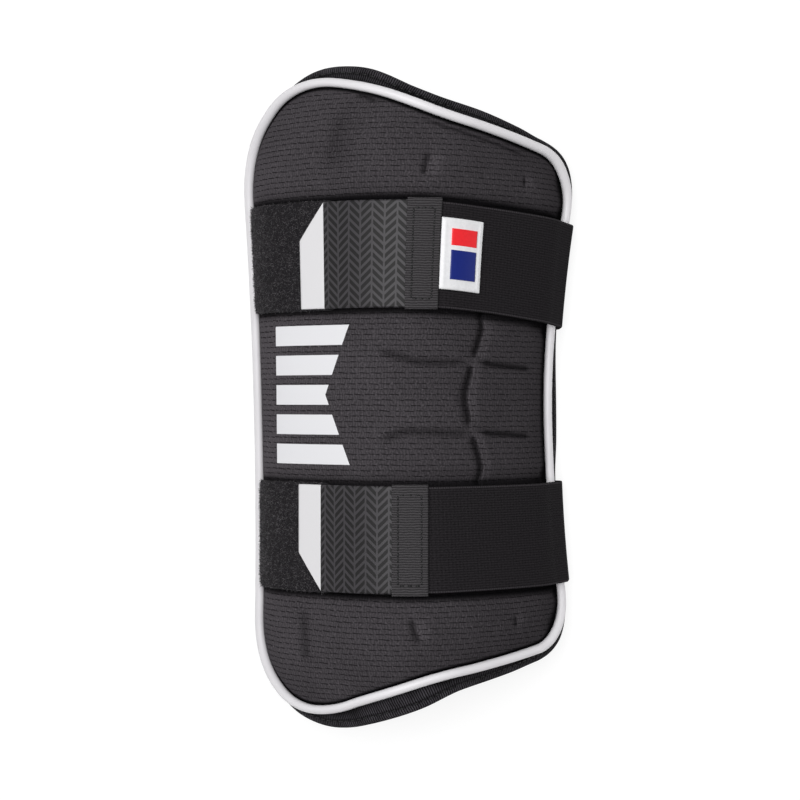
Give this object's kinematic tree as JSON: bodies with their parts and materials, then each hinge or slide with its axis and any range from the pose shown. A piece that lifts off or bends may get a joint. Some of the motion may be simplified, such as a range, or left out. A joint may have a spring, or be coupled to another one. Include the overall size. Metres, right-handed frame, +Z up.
{
  "type": "batter's leg guard",
  "caption": "Arched padded shin guard for a batter, with a piped and bound edge and elastic straps that close on the front with hook tabs.",
  "frame": {"origin": "bottom centre of the bounding box, on the surface that the guard lies on", "axes": "+X toward the side that the straps turn round, +Y along the leg to the knee end, +Z up, from the leg to the outside of the pad"},
  "size_m": [0.1678, 0.3224, 0.0826],
  "materials": {
    "front_cloth": "charcoal cloth with rows of darker dashes",
    "lining": "matte black knit",
    "tape": "ribbed grosgrain",
    "piping": "smooth white cord cover",
    "loop_pile": "fuzzy loop pile",
    "tab": "semi-gloss, tone-on-tone print with a white end",
    "elastic": "fine knitted elastic",
    "webbing": "ribbed webbing",
    "label": "soft white moulded rubber"
  },
  "bodies": {
    "root": {"back_panel": "lining", "edge_binding": "tape", "front_pad": "front_cloth", "piping": "piping", "loop_panel_upper": "loop_pile", "loop_panel_lower": "loop_pile", "hook_tab_upper": "tab", "hook_tab_lower": "tab", "elastic_strap_upper": "elastic", "elastic_strap_lower": "elastic", "web_tab_upper": "webbing", "web_tab_lower": "webbing", "strap_label": "label"}
  },
  "joints": []
}
